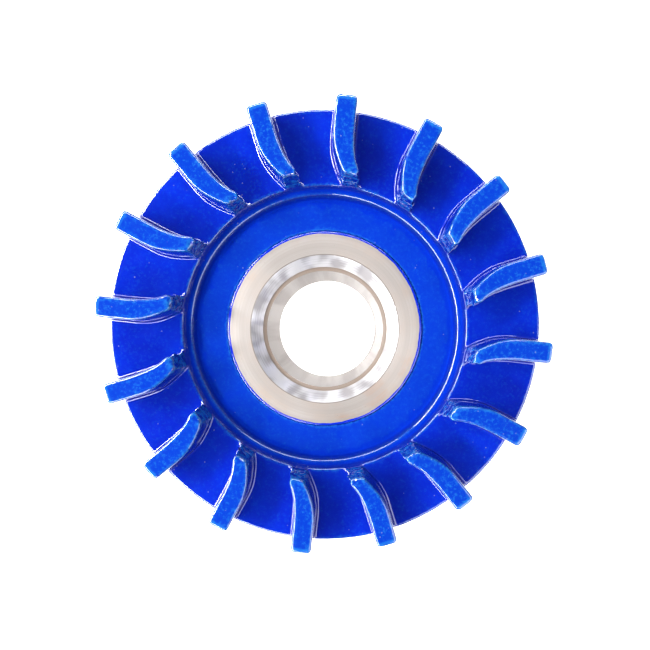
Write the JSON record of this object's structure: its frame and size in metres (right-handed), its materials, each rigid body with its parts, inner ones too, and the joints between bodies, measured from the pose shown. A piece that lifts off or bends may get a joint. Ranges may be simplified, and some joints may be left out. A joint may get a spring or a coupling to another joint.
{
  "type": "slurry pump expeller",
  "caption": "Round cast pump expeller: a disc with curved standing vanes round its front, a dished centre and a bored hub behind it.",
  "frame": {"origin": "middle of the hub's machined rear face, on the shaft's axis: the bottom centre of the casting as it stands", "axes": "+Z along the shaft's axis, from the hub's rear face towards the vanes; +X and +Y across the disc as seen from the vaned side"},
  "size_m": [0.284, 0.284, 0.103],
  "materials": {
    "blue_paint": "thick glossy blue paint over an iron casting, with specks and runs",
    "machined_iron": "bare turned metal with fine turning marks, on the hub's faces, its seal chamfer and its bore"
  },
  "bodies": {
    "root": {"expeller_casting": "blue_paint"}
  },
  "joints": []
}
